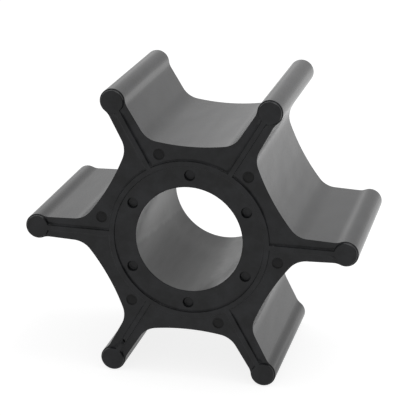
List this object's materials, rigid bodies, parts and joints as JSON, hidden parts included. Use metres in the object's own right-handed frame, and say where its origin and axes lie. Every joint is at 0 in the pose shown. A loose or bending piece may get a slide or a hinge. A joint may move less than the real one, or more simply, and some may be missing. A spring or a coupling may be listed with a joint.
{
  "type": "rubber pump impeller",
  "caption": "One-piece rubber impeller: a hub with a plain through bore and straight radial vanes that end in round sealing bulbs.",
  "frame": {"origin": "centre of the bore at mid width", "axes": "+Y along the bore, from the near end with the pin holes to the far end; one vane points along +X"},
  "size_m": [0.0662, 0.035, 0.058],
  "materials": {
    "rubber": "matte"
  },
  "bodies": {
    "root": {"impeller": "rubber"}
  },
  "joints": []
}
